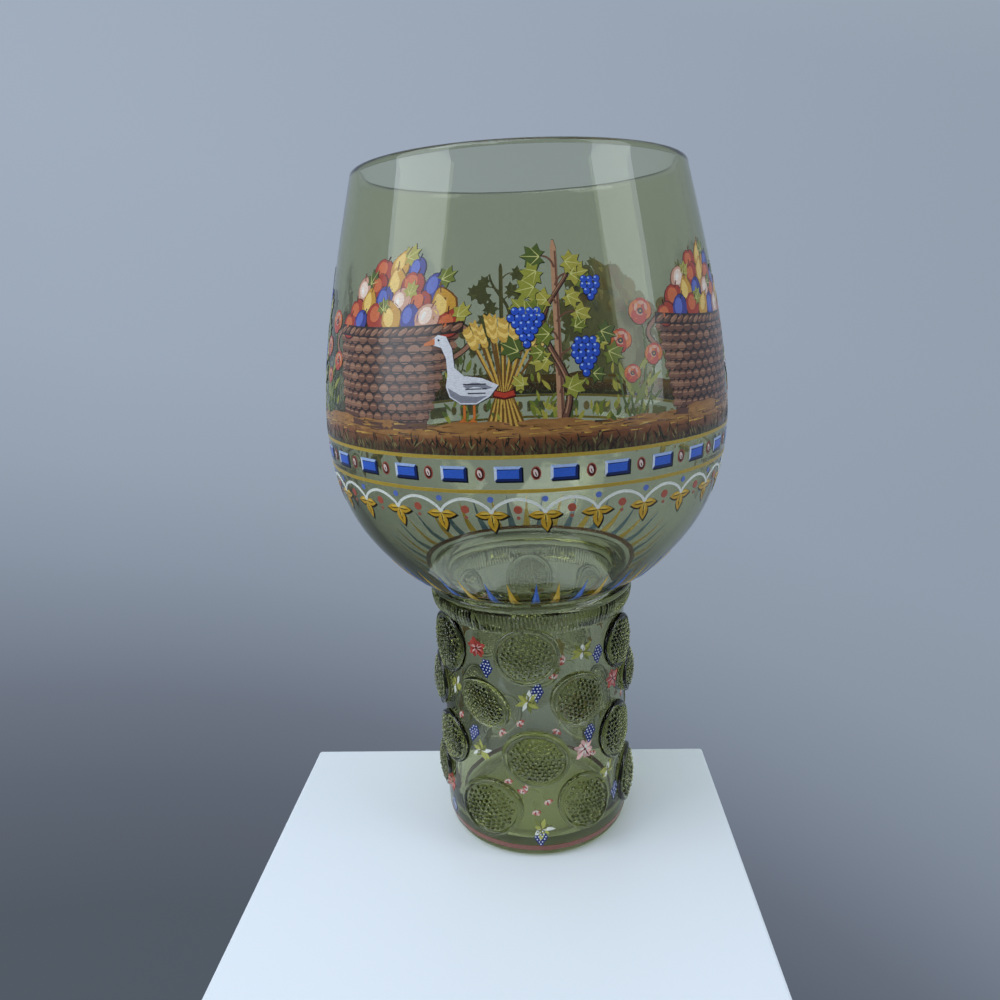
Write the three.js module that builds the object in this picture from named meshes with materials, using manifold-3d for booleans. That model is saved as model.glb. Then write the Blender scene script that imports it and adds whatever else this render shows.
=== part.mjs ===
// Roemer goblet in blown green glass. Millimetres, +Z up, the foot rests on z = 0,
// and the front of the glass looks along -Y.
import * as THREE from "three";
import { mergeVertices } from "three/addons/utils/BufferGeometryUtils.js";
import Module from "manifold-3d";

const wasm = await Module();
wasm.setup();

// Sizes that drive the glass
const height = 351;
const bellyRadius = 102;
const bellyHeight = 236;
const rimRadius = 81.1;
const bowlWall = 5.2;
const stemRadius = 51;
const stemWall = 5.4;
const jointHeight = 149;
const footInset = 3.2; // the ground edge stands this far inside the stem's wall
const footEdgeWidth = 4.4;
const footSwell = 1.5; // the stem is this much fuller just above its foot
const floorThickness = 4;
const kickUp = 4.4;
const clearance = 0.3; // left between neighbours that are fused in the real glass

// Thread and milled band under the bowl, both laid on the stem's outside
const wallTop = stemRadius + 0.1 * footInset;
const bedRadius = wallTop + clearance;
const threadHeight = 6.4;
const threadRadius = stemRadius + 0.72 * threadHeight;
const ribCount = 112;
const ribDepth = 0.9;
const tongue = 1.6; // height of the rounded ends of the ribs
const collarHeight = 13;
const collarShoulder = 6; // height over which the band thins out at its foot
const collarThickness = 4.4;
const collarRadius = stemRadius + collarThickness;
const collarTop = jointHeight - 2 * clearance - threadHeight;

// Stamped discs on the stem
const pruntWidth = 32.5;
const pruntHeight = 30.5;
const pruntThickness = 6; // from the stem's wall to the crest of the rim
const pruntBed = 0.7; // how far the flat back would run into the wall
const pruntRim = 2.8;
const fieldDepth = 1.1;
const nubHeight = 1.5;
const nubsAcross = 9;
const fieldMargin = 0.9; // nubs' worth of bare ground across the field, at its edge
const pruntBack = stemRadius - pruntBed;
const pruntDepth = pruntThickness + pruntBed;
// Rows of discs from the top down, each at a share of the stem's height. A disc has its
// angle from the front in degrees, its slip up the wall as a share of a disc's height,
// its width and height against the usual disc, and its tilt in degrees.
const pruntRows = [
  {
    share: 0.789,
    discs: [
      [-4, 0.03, 1.05, 1.04, 15],
      [61, -0.12, 0.9, 0.97, 0],
      [127, 0, 1, 0.98, 0],
      [181, 0.02, 1, 1.04, 0],
      [236, -0.02, 1.03, 1, 0],
      [301, -0.03, 0.96, 1.12, 0],
    ],
  },
  {
    share: 0.597,
    discs: [
      [26, 0.09, 1, 0.98, -35],
      [82, 0.03, 0.94, 0.88, 0],
      [149, 0, 1, 1, 0],
      [214, 0.04, 0.97, 1.02, 0],
      [280, -0.05, 1, 1, 0],
      [330, 0.03, 0.97, 0.77, -35],
    ],
  },
  {
    share: 0.413,
    discs: [
      [0, -0.03, 1.12, 1.04, -20],
      [56, 0.07, 0.88, 1.08, 0],
      [116, -0.02, 1, 1, 0],
      [178, 0.03, 1.02, 0.97, 0],
      [238, 0, 0.98, 1, 0],
      [299.5, -0.06, 0.95, 0.97, 0],
    ],
  },
  {
    share: 0.201,
    discs: [
      [29, 0.04, 0.94, 1.16, 30],
      [76, -0.12, 1, 1.1, 0],
      [145, 0, 1.03, 1, 0],
      [208, 0.03, 1, 1.02, 0],
      [278, 0.12, 0.98, 0.96, 0],
      [331, -0.05, 1.2, 1.1, 30],
    ],
  },
];

// How finely the round forms are cut
const bowlSegments = 56;
const stemSegments = 48;
const profileSteps = 11;
const discSegments = 16;

const bowlGlass = { color: 0xa9b28e, roughness: 0.08, metalness: 0 };
const stemGlass = { color: 0x8f9a70, roughness: 0.1, metalness: 0 };
const threadGlass = { color: 0x7c8a5c, roughness: 0.12, metalness: 0 };
const pruntGlass = { color: 0x66744c, roughness: 0.15, metalness: 0 };

const group = new THREE.Group();
group.name = "roemer_goblet";

function addMesh(name, geometry, finish) {
  const mesh = new THREE.Mesh(geometry, new THREE.MeshStandardMaterial(finish));
  mesh.name = name;
  group.add(mesh);
  return mesh;
}

// A closed profile of [radius, z] pairs turned about the axis, +Z up.
function turned(profile, segments) {
  const points = profile.map(([r, z]) => new THREE.Vector2(r, z));
  const lathe = new THREE.LatheGeometry(points, segments);
  lathe.rotateX(Math.PI / 2);
  return lathe;
}

function solidOf(geometry) {
  const bare = geometry.clone();
  bare.deleteAttribute("normal");
  bare.deleteAttribute("uv");
  const merged = mergeVertices(bare, 1e-4);
  return new wasm.Manifold(
    new wasm.Mesh({
      numProp: 3,
      vertProperties: new Float32Array(merged.attributes.position.array),
      triVerts: new Uint32Array(merged.index.array),
    }),
  );
}

function geometryOf(solid) {
  const mesh = solid.getMesh();
  const geometry = new THREE.BufferGeometry();
  geometry.setAttribute("position", new THREE.BufferAttribute(mesh.vertProperties, 3));
  geometry.setIndex(new THREE.BufferAttribute(mesh.triVerts, 1));
  return geometry;
}

// Outside of the bowl: shares of the way out and up, first from the thread's edge to
// the belly, then from the belly to the rim.
const threadToBelly = [
  [0, 0.008],
  [0.141, 0.025],
  [0.417, 0.151],
  [0.763, 0.398],
  [0.957, 0.693],
  [1, 1],
];
const bellyToRim = [
  [0.187, 0.31],
  [0.531, 0.627],
  [1, 1],
];
const lipHeight = height - bowlWall / 2;
const along = (from, to, share) => from + (to - from) * share;
const bowlCurve = new THREE.SplineCurve([
  ...threadToBelly.map(([out, up]) => [
    along(threadRadius, bellyRadius, out),
    along(jointHeight, bellyHeight, up),
  ]),
  ...bellyToRim.map(([out, up]) => [
    along(bellyRadius, rimRadius, out),
    along(bellyHeight, lipHeight, up),
  ]),
].map(([r, z]) => new THREE.Vector2(r, z)));

// Outside of the stem, from the foot edge up: [radius, z].
const footEdgeRadius = stemRadius - footInset;
const stemOutside = [
  [footEdgeRadius, 0],
  [footEdgeRadius + 0.6 * footInset, 0.01 * jointHeight],
  [stemRadius + 0.45 * footSwell, 0.037 * jointHeight],
  [stemRadius + footSwell, 0.094 * jointHeight],
  [stemRadius + 0.67 * footSwell, 0.19 * jointHeight],
  [stemRadius, 0.44 * jointHeight],
  [wallTop, jointHeight - clearance],
];

function bowlGeometry() {
  const outside = [];
  const inside = [];
  for (let i = 0; i <= profileSteps; i++) {
    const u = i / profileSteps;
    const p = bowlCurve.getPointAt(u);
    const t = bowlCurve.getTangentAt(u);
    outside.push([p.x, p.y]);
    if (i > 0) inside.push([p.x - t.y * bowlWall, p.y + t.x * bowlWall]);
  }
  const lip = [];
  const top = bowlCurve.getPointAt(1);
  for (let i = 1; i < 4; i++) {
    const a = (Math.PI * i) / 4;
    const half = bowlWall / 2;
    lip.push([top.x - half + half * Math.cos(a), top.y + half * Math.sin(a)]);
  }
  const bore = stemRadius - stemWall;
  const base = [
    [bore, jointHeight],
    [wallTop + footSwell, jointHeight],
  ];
  const throat = [[bore + 0.8 * bowlWall, jointHeight + 0.54 * bowlWall]];
  const ring = [...base, ...outside, ...lip, ...inside.reverse(), ...throat];
  return turned([...ring, base[0]], bowlSegments);
}

function stemGeometry() {
  const bore = stemOutside
    .slice(3)
    .map(([r, z]) => [r - stemWall, z])
    .reverse();
  const floorInside = [
    [0.945 * footEdgeRadius, 1.7 * floorThickness],
    [0.83 * footEdgeRadius, 1.1 * floorThickness],
    [0.54 * footEdgeRadius, floorThickness + 0.6 * kickUp],
    [0, floorThickness + kickUp],
  ];
  const underside = [
    [0, kickUp],
    [0.54 * footEdgeRadius, 0.6 * kickUp],
    [footEdgeRadius - 1.5 * footEdgeWidth, 0.2 * kickUp],
    [footEdgeRadius - footEdgeWidth, 0],
  ];
  return turned([...underside, ...stemOutside, ...bore, ...floorInside], stemSegments);
}

// The smooth thread: a half-round section that beds against the stem.
function threadGeometry() {
  const low = jointHeight - clearance - threadHeight;
  const section = [
    [bedRadius, low + clearance],
    [bedRadius + clearance, low],
  ];
  for (let i = 0; i <= 4; i++) {
    const a = -Math.PI / 2 + (Math.PI * i) / 4;
    const r = threadRadius - threadHeight / 2 + (threadHeight / 2) * Math.cos(a);
    section.push([r, low + threadHeight / 2 + (threadHeight / 2) * Math.sin(a)]);
  }
  section.push([bedRadius, low + threadHeight]);
  return turned([...section, section[0]], bowlSegments);
}

// The milled band: each rib has a crest and a furrow, and furrows stop short of the
// top edge, so the crests end in rounded tongues.
function milledBand() {
  const foot = collarTop - collarHeight;
  const levels = [
    { z: foot, crest: bedRadius + ribDepth, furrow: bedRadius + 0.6 * ribDepth },
    { z: foot + collarShoulder, crest: collarRadius, furrow: collarRadius - 1.4 * ribDepth },
    { z: collarTop - tongue, crest: collarRadius, furrow: collarRadius - ribDepth },
    { z: collarTop, crest: collarRadius - tongue, furrow: collarRadius - tongue - ribDepth },
  ];
  const sides = ribCount * 2;
  const points = [];
  for (const level of levels) {
    for (let i = 0; i < sides; i++) {
      const a = (2 * Math.PI * i) / sides;
      const r = i % 2 ? level.furrow : level.crest;
      points.push(r * Math.cos(a), r * Math.sin(a), level.z);
    }
  }
  for (const z of [collarTop, foot]) {
    for (let i = 0; i < sides; i++) {
      const a = (2 * Math.PI * i) / sides;
      points.push(bedRadius * Math.cos(a), bedRadius * Math.sin(a), z);
    }
  }
  const rings = levels.length + 2;
  const faces = [];
  for (let k = 0; k < rings; k++) {
    const next = (k + 1) % rings;
    for (let i = 0; i < sides; i++) {
      const j = (i + 1) % sides;
      const [a, b] = [k * sides + i, k * sides + j];
      const [c, d] = [next * sides + j, next * sides + i];
      faces.push(a, b, c, a, c, d);
    }
  }
  const band = new THREE.BufferGeometry();
  band.setAttribute("position", new THREE.Float32BufferAttribute(points, 3));
  band.setIndex(faces);
  return solidOf(band);
}

// Corner points of the square cells whose nubs fill the round field of a disc.
function fieldCells() {
  const half = (nubsAcross - 1) / 2;
  const reach = (nubsAcross + fieldMargin) / 2 - 0.2;
  const cells = [];
  for (let row = -half; row <= half; row++) {
    for (let column = -half; column <= half; column++) {
      const corner = Math.hypot(Math.abs(row) + 0.5, Math.abs(column) + 0.5);
      if (corner < reach) cells.push([column, row]);
    }
  }
  return cells;
}

// Fills the ground between a round ring and the stepped outline inside it, taking
// the next corner of whichever comes first by angle.
function stitch(ring, outline, points, faces) {
  const full = 2 * Math.PI;
  const bearing = (i) => (Math.atan2(points[3 * i + 1], points[3 * i]) + full) % full;
  const inner = [...outline].sort((a, b) => bearing(a) - bearing(b));
  let [i, j] = [0, 0];
  while (i < ring.length || j < inner.length) {
    const here = ring[i % ring.length];
    const beside = inner[j % inner.length];
    const nextRing = ring[(i + 1) % ring.length];
    const nextInner = inner[(j + 1) % inner.length];
    const ringAngle = (full * (i + 1)) / ring.length;
    const innerAngle = bearing(nextInner) + (j + 1 >= inner.length ? full : 0);
    if (j >= inner.length || (i < ring.length && ringAngle < innerAngle)) {
      faces.push(beside, here, nextRing);
      i += 1;
    } else {
      faces.push(here, nextInner, beside);
      j += 1;
    }
  }
}

// A stamped disc lying flat, face up: a swelling rim round a field of pointed nubs.
function pruntBlank(width, tall, tilt, turn) {
  const pitch = (pruntWidth - 2 * pruntRim) / (nubsAcross + fieldMargin);
  const floor = pruntDepth - fieldDepth;
  const points = [];
  const faces = [];
  const place = new Map();
  const corner = (x, y, z) => {
    const key = [x, y, z].map((v) => v.toFixed(3)).join();
    if (!place.has(key)) {
      place.set(key, points.length / 3);
      points.push(x, y, z);
    }
    return place.get(key);
  };
  const cells = fieldCells();
  const filled = new Set(cells.map((cell) => cell.join()));
  const steps = [
    [1, -1, 1, 1, 1, 0],
    [1, 1, -1, 1, 0, 1],
    [-1, 1, -1, -1, -1, 0],
    [-1, -1, 1, -1, 0, -1],
  ];
  const edge = new Map();
  for (const [column, row] of cells) {
    const [cx, cy] = [column * pitch, row * pitch];
    const peak = corner(cx, cy, floor + nubHeight);
    for (const [ax, ay, bx, by, nx, ny] of steps) {
      const a = corner(cx + (ax * pitch) / 2, cy + (ay * pitch) / 2, floor);
      const b = corner(cx + (bx * pitch) / 2, cy + (by * pitch) / 2, floor);
      faces.push(peak, a, b);
      if (!filled.has([column + nx, row + ny].join())) edge.set(a, b);
    }
  }
  const outline = [];
  let at = edge.keys().next().value;
  while (outline.length < edge.size) {
    outline.push(at);
    at = edge.get(at);
  }
  const outer = pruntWidth / 2;
  const rings = [
    [outer - pruntRim, floor + 0.25 * fieldDepth],
    [outer - 0.5 * pruntRim, pruntDepth],
    [outer, 0.6 * pruntDepth],
    [outer - 0.4 * pruntRim, 0],
  ].map(([r, z]) =>
    Array.from({ length: discSegments }, (_, i) => {
      const a = (2 * Math.PI * i) / discSegments;
      return corner(r * Math.cos(a), r * Math.sin(a), z);
    }),
  );
  stitch(rings[0], outline, points, faces);
  for (let k = 0; k + 1 < rings.length; k++) {
    for (let i = 0; i < discSegments; i++) {
      const j = (i + 1) % discSegments;
      const [a, b, c, d] = [rings[k][i], rings[k][j], rings[k + 1][j], rings[k + 1][i]];
      faces.push(a, c, b, a, d, c);
    }
  }
  const last = rings[rings.length - 1];
  for (let i = 1; i + 1 < discSegments; i++) faces.push(last[0], last[i + 1], last[i]);
  const blank = new THREE.BufferGeometry();
  blank.setAttribute("position", new THREE.Float32BufferAttribute(points, 3));
  blank.setIndex(faces);
  blank.rotateZ(turn);
  blank.scale(width / pruntWidth, tall / pruntWidth, 1);
  blank.rotateZ(tilt);
  return blank;
}

// Stands a blank on the stem with its face outwards at an angle from the front.
function placeOnStem(geometry, angle, z) {
  geometry.rotateX(Math.PI / 2);
  geometry.translate(0, -pruntBack, 0);
  geometry.rotateZ(THREE.MathUtils.degToRad(angle));
  geometry.translate(0, 0, z);
  return geometry;
}

// The room a disc needs in the band above it: its outline, a clearance wider.
function pruntRoom(width, tall, tilt, angle, z) {
  const room = new THREE.CylinderGeometry(1, 1, 2 * pruntDepth, discSegments);
  room.rotateX(Math.PI / 2);
  room.scale(width / 2 + 2 * clearance, tall / 2 + 2 * clearance, 1);
  room.rotateZ(tilt);
  return placeOnStem(room, angle, z);
}

function seatOfPrunts() {
  const profile = stemOutside.map(([r, z]) => [r + clearance, z]);
  const bottom = [[0, -clearance], [profile[0][0], -clearance]];
  const top = [[0, profile[profile.length - 1][1]]];
  return solidOf(turned([...bottom, ...profile, ...top], stemSegments));
}

addMesh("bowl", bowlGeometry(), bowlGlass);
addMesh("stem", stemGeometry(), stemGlass);
addMesh("neck_thread", threadGeometry(), threadGlass);

let band = milledBand();
const seat = seatOfPrunts();
pruntRows.forEach((row, rowIndex) => {
  row.discs.forEach(([angle, slip, wideness, tallness, tiltDegrees], i) => {
    const width = wideness * pruntWidth;
    const tall = tallness * pruntHeight;
    const tilt = THREE.MathUtils.degToRad(tiltDegrees);
    const z = row.share * jointHeight + slip * pruntHeight;
    const turn = 0.9 * (rowIndex * row.discs.length + i);
    const blank = placeOnStem(pruntBlank(width, tall, tilt, turn), angle, z);
    const disc = solidOf(blank).subtract(seat);
    const room = solidOf(pruntRoom(width, tall, tilt, angle, z));
    if (rowIndex === 0) band = band.subtract(room);
    addMesh(`prunt_${rowIndex + 1}_${i + 1}`, geometryOf(disc), pruntGlass);
  });
});
addMesh("milled_collar", geometryOf(band), threadGlass);

export default group;
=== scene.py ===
import math
import random
import bpy
import bmesh
import numpy as np
from mathutils import Matrix, Vector


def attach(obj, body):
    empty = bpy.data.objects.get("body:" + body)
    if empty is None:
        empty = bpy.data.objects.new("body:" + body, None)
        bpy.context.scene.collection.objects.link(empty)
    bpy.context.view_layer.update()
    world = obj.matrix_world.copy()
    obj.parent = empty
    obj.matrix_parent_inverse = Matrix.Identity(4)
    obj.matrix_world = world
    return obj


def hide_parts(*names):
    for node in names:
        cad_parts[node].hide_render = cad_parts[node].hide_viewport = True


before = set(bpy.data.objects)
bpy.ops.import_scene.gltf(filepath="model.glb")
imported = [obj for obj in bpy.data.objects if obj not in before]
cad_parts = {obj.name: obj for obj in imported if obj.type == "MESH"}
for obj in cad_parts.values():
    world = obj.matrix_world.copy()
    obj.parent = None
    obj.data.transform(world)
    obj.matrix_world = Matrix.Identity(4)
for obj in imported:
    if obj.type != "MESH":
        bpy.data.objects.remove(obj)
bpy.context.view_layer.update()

hand = random.Random(1887)   # every unevenness of hand work comes from here
mm = 0.001                   # shapes are drawn in millimetres and finished in metres
fullTurn = 2 * math.pi


def shares(count):
    # even steps from 0 to 1
    return [i / count for i in range(count + 1)]


def around(count):
    # even angles once round a circle
    return [fullTurn * i / count for i in range(count)]


def away(at, reach, angle):
    # the point at a reach and an angle from another
    return at[0] + reach * math.cos(angle), at[1] + reach * math.sin(angle)


def smoothLine(points, count):
    # a curve of even bending through the points, as a bent batten would take
    pts = np.array(points, float)
    t = np.concatenate([[0], np.cumsum(np.linalg.norm(np.diff(pts, axis=0), axis=1))])
    n = len(t)
    m = np.eye(n)
    rhs = np.zeros((n, 2))
    for i in range(1, n - 1):
        a, b = t[i] - t[i - 1], t[i + 1] - t[i]
        m[i, i - 1:i + 2] = a, 2 * (a + b), b
        rhs[i] = 6 * ((pts[i + 1] - pts[i]) / b - (pts[i] - pts[i - 1]) / a)
    bend = np.linalg.solve(m, rhs)
    line = []
    for s in np.linspace(0, t[-1], count):
        i = min(max(np.searchsorted(t, s) - 1, 0), n - 2)
        h, u, v = t[i + 1] - t[i], t[i + 1] - s, s - t[i]
        p = (bend[i] * u ** 3 + bend[i + 1] * v ** 3) / (6 * h)
        p += (pts[i] / h - bend[i] * h / 6) * u + (pts[i + 1] / h - bend[i + 1] * h / 6) * v
        line.append((float(p[0]), float(p[1])))
    return line


def offsetLine(line, depth, taper=1.0):
    # the line moved to the left of its run, by depth at its start and taper times that at its end
    out = []
    last = len(line) - 1
    for i, (x, y) in enumerate(line):
        ax, ay = line[max(i - 1, 0)]
        bx, by = line[min(i + 1, last)]
        run = math.hypot(bx - ax, by - ay) or 1
        reach = depth * (1 + (taper - 1) * i / last)
        out.append((x - (by - ay) / run * reach, y + (bx - ax) / run * reach))
    return out


def spun(profile, steps, closed=True):
    # turns a profile of (radius, height) about the axis into one skin
    bm = bmesh.new()
    verts = [bm.verts.new((r, 0, z)) for r, z in profile]
    edges = [bm.edges.new(pair) for pair in zip(verts, verts[1:])]
    if closed:
        edges.append(bm.edges.new((verts[-1], verts[0])))
    bmesh.ops.spin(bm, geom=verts + edges, cent=(0, 0, 0), axis=(0, 0, 1),
                   angle=fullTurn, steps=steps, use_merge=True)
    bmesh.ops.remove_doubles(bm, verts=bm.verts, dist=1e-4)
    bmesh.ops.recalc_face_normals(bm, faces=bm.faces)
    return bm


def swivel(bm, angle, axis="Z"):
    bmesh.ops.rotate(bm, verts=bm.verts, cent=(0, 0, 0), matrix=Matrix.Rotation(angle, 3, axis))


def asObject(bm, name, material=None):
    bmesh.ops.scale(bm, vec=(mm, mm, mm), verts=bm.verts)
    mesh = bpy.data.meshes.new(name)
    bm.to_mesh(mesh)
    bm.free()
    piece = bpy.data.objects.new(name, mesh)
    bpy.context.scene.collection.objects.link(piece)
    if material:
        mesh.materials.append(material)
    return piece


def joinInto(bm, other):
    # takes another bmesh into bm
    mesh = bpy.data.meshes.new("loose")
    other.to_mesh(mesh)
    other.free()
    bm.from_mesh(mesh)
    bpy.data.meshes.remove(mesh)


def fuse(piece, others):
    # welds closed pieces into one skin, as hot glass does
    for other in others:
        weld = piece.modifiers.new("weld", "BOOLEAN")
        weld.operation = "UNION"
        weld.solver = "MANIFOLD"
        weld.object = other
        bpy.context.view_layer.update()
        baked = bpy.data.meshes.new_from_object(
            piece.evaluated_get(bpy.context.evaluated_depsgraph_get()))
        piece.modifiers.clear()
        piece.data = baked
        bpy.data.objects.remove(other)
    return piece


# The blown glass: bowl, stem and foot in one gather
blownBody = {
    "wall": 5.0, "steps": 120, "joint": 147.5, "sharpAngle": 38,
    "bowlSteps": 50, "stemSteps": 24, "insideSteps": 30, "lipSteps": 10,
    "bowlOutside": [(52.6, 147.2), (57.0, 148.9), (62.3, 151.2), (74.95, 162.1), (90.85, 183.6),
                    (99.65, 209.3), (101.65, 236.5), (97.85, 271.6), (90.65, 308.1), (80.85, 348.45)],
    "footEdge": [(47.8, 0), (48.6, 0.35), (49.6, 1.2)],
    "stemOutside": [(51.0, 3.4), (52.0, 7.5), (52.4, 14), (52.1, 26), (51.4, 46), (51.0, 66), (51.0, 108),
                    (51.2, 141), (51.3, 146.2)],
    "throatRadius": 49.1, "throatInside": [(48.0, 151.6), (46.4, 150.4)],
    "stemInside": [(45.9, 149.4), (45.6, 140), (45.5, 100), (45.6, 60), (46.2, 26), (45.8, 16),
                   (44.2, 10.4), (40.5, 7.8), (33, 7.2), (18, 8.6), (0, 9.4)],
    "under": [(0, 4.4), (16, 4.0), (28, 2.8), (38, 1.3), (42.2, 0.4), (43.6, 0)],
}
bowlLine = smoothLine(blownBody["bowlOutside"], blownBody["bowlSteps"])
stemLine = smoothLine(blownBody["stemOutside"], blownBody["stemSteps"])


def wallAt(z):
    # radius and lean of the outside at a height
    line = bowlLine if z > blownBody["joint"] else stemLine
    for (r0, z0), (r1, z1) in zip(line, line[1:]):
        if z0 <= z <= z1:
            s = (z - z0) / (z1 - z0)
            return r0 + (r1 - r0) * s, math.atan2(r1 - r0, z1 - z0)
    return line[-1][0] if z > line[-1][1] else line[0][0], 0.0


def makeBlownBody():
    b = blownBody
    half = b["wall"] / 2
    topR, topZ = bowlLine[-1]
    lip = [(topR - half + half * math.cos(a), topZ + half * math.sin(a))
           for a in (math.pi * i / b["lipSteps"] for i in range(1, b["lipSteps"]))]
    outer = b["under"] + b["footEdge"] + stemLine + bowlLine + lip
    inner = [p for p in offsetLine(bowlLine, b["wall"])[::-1] if p[0] > b["throatRadius"]]
    inner += b["throatInside"] + smoothLine(b["stemInside"], b["insideSteps"])
    return spun(outer + inner, b["steps"], closed=False)


neckThread = {
    "radius": 52.9, "height": 141.7, "climb": 2.5, "out": 2.45, "half": 2.3, "sides": 12,
    "start": 14, "lap": 34, "steps": 150, "tail": 11, "tip": 0.25, "seat": 1.2,
    "bead": [(51.0, 144.6), (53.2, 144.9), (54.5, 145.9), (54.7, 147.0), (54.0, 148.2), (51.0, 148.6)],
}


def makeNeckThread():
    # one hot thread wound once round the neck: it climbs a little, and its ends lap and thin out
    t = neckThread
    sides, steps = t["sides"], t["steps"]
    coil = bmesh.new()
    loop = [coil.verts.new((t["radius"] + t["out"] * math.cos(a), 0, t["height"] + t["half"] * math.sin(a)))
            for a in around(sides)]
    edges = [coil.edges.new((loop[i - 1], loop[i])) for i in range(sides)]
    bmesh.ops.spin(coil, geom=loop + edges, cent=(0, 0, 0), axis=(0, 0, 1), steps=steps, use_merge=False,
                   angle=math.radians(360 + t["lap"]), dvec=(0, 0, t["climb"] / steps))
    coil.verts.ensure_lookup_table()
    for k in range(steps + 1):
        near = min(k, steps - k) / t["tail"]
        if near >= 1:
            continue
        ring = coil.verts[sides * k:sides * (k + 1)]
        middle = sum((v.co for v in ring), Vector()) / sides
        root = middle * ((middle.length - t["seat"]) / middle.length)
        root.z = middle.z
        slim = t["tip"] + (1 - t["tip"]) * math.sin(near * math.pi / 2)
        for v in ring:
            v.co = root + (v.co - root) * slim
    bmesh.ops.holes_fill(coil, edges=[e for e in coil.edges if e.is_boundary], sides=0)
    bmesh.ops.recalc_face_normals(coil, faces=coil.faces)
    swivel(coil, math.radians(t["start"] - 90))
    return coil


milledCollar = {
    "ribs": 160, "samples": 4, "depth": 1.75, "root": 51.4, "fade": 1.6, "topEnd": 140.9,
    "sway": 0.35, "swayOver": 8, "middle": 134,
    "outside": [(50.4, 129.2), (51.4, 129.5), (52.5, 130.4), (53.5, 131.8), (54.3, 133.9), (54.9, 136.4),
                (55.1, 138.2), (54.9, 139.3), (54.1, 140.2), (52.6, 140.6), (50.4, 140.7)],
    "inside": [(49.2, 139), (49.2, 131)],
}


def makeMilledCollar():
    # a wound band with ribs rolled into it, each pressed a little differently
    c = milledCollar
    ribs = c["ribs"]
    bm = spun(c["outside"] + c["inside"], ribs * c["samples"])
    press = [hand.uniform(0.7, 1.15) for _ in range(ribs)]
    for v in bm.verts:
        r = math.hypot(v.co.x, v.co.y)
        if r < c["root"]:
            continue
        turn = math.atan2(v.co.y, v.co.x) / fullTurn % 1 * ribs
        sway = c["sway"] * math.sin(3 * turn / ribs * fullTurn)
        wave = 0.5 + 0.5 * math.cos(fullTurn * (turn + sway * (v.co.z - c["middle"]) / c["swayOver"]))
        fade = min(1, (r - c["root"]) / c["fade"]) * min(1, max(0.2, (c["topEnd"] - v.co.z) / c["fade"]))
        cut = c["depth"] * press[int(turn) % ribs] * (1 - wave) * fade
        v.co.x *= (r - cut) / r
        v.co.y *= (r - cut) / r
    return bm


prunt = {
    "width": 32.5, "tall": 30.5, "back": 50.3, "bend": 0.8, "stemRadius": 51, "blanks": 3, "spin": 0.9,
    "profile": [(15.3, 0), (15.9, 0.6), (16.25, 1.5), (16.25, 2.4), (15.95, 3.2), (15.35, 3.75),
                (14.65, 3.85), (14.05, 3.5), (13.65, 2.9), (13.1, 2.85), (10.3, 3.8), (6.5, 4.5)],
    "steps": 32, "crown": 4.85, "swell": 1.75,
    "field": 12.5, "pitch": 2.6, "rowShare": 0.866, "stray": 0.34,
    "nub": 1.16, "nubRise": 1.95, "nubFoot": 4.75,
    # height of the row, then for each disc its angle from the front, its slip up the wall
    # as a share of its height, how wide and tall it is against the usual disc, and its tilt
    "rows": [
        (117.6, [(-4, 0.03, 1.05, 1.04, 15), (61, -0.12, 0.9, 0.97, 0), (127, 0, 1, 0.98, 0),
                 (181, 0.02, 1, 1.04, 0), (236, -0.02, 1.03, 1, 0), (301, -0.03, 0.96, 1.12, 0)]),
        (89.0, [(26, 0.09, 1, 0.98, -35), (82, 0.03, 0.94, 0.88, 0), (149, 0, 1, 1, 0),
                (214, 0.04, 0.97, 1.02, 0), (280, -0.05, 1, 1, 0), (330, 0.03, 0.97, 0.77, -35)]),
        (61.5, [(0, -0.03, 1.12, 1.04, -20), (56, 0.07, 0.88, 1.08, 0), (116, -0.02, 1, 1, 0),
                (178, 0.03, 1.02, 0.97, 0), (238, 0, 0.98, 1, 0), (299.5, -0.06, 0.95, 0.97, 0)]),
        (30.0, [(29, 0.04, 0.94, 1.16, 30), (76, -0.12, 1, 1.1, 0), (145, 0, 1.03, 1, 0),
                (208, 0.03, 1, 1.02, 0), (278, 0.12, 0.98, 0.96, 0), (331, -0.05, 1.2, 1.1, 30)]),
    ],
}


def makePruntBlank(name):
    # a disc lying flat, its face up, with a low rim round a swelling field of round nubs
    p = prunt
    pitch, field = p["pitch"], p["field"]
    disc = spun([(0, 0)] + p["profile"] + [(0, p["crown"])], p["steps"], closed=False)
    nubs = bmesh.new()
    rows = int(field / (pitch * p["rowShare"])) + 1
    for row in range(-rows, rows + 1):
        for column in range(-rows - 2, rows + 3):
            x = (column + 0.5 * (row % 2)) * pitch
            y = row * pitch * p["rowShare"]
            if math.hypot(x, y) > field:
                continue
            x += hand.uniform(-p["stray"], p["stray"])
            y += hand.uniform(-p["stray"], p["stray"])
            size = p["nub"] * hand.uniform(0.8, 1.06)
            rise = p["nubRise"] * hand.uniform(0.8, 1.05)
            foot = p["nubFoot"] - p["swell"] * (x * x + y * y) / field ** 2
            place = Matrix.Translation((x, y, foot)) @ Matrix.Diagonal((size, size, rise, 1))
            bmesh.ops.create_uvsphere(nubs, u_segments=8, v_segments=5, radius=1, matrix=place)
    return fuse(asObject(disc, name), [asObject(nubs, name + "Nubs")])


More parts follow.
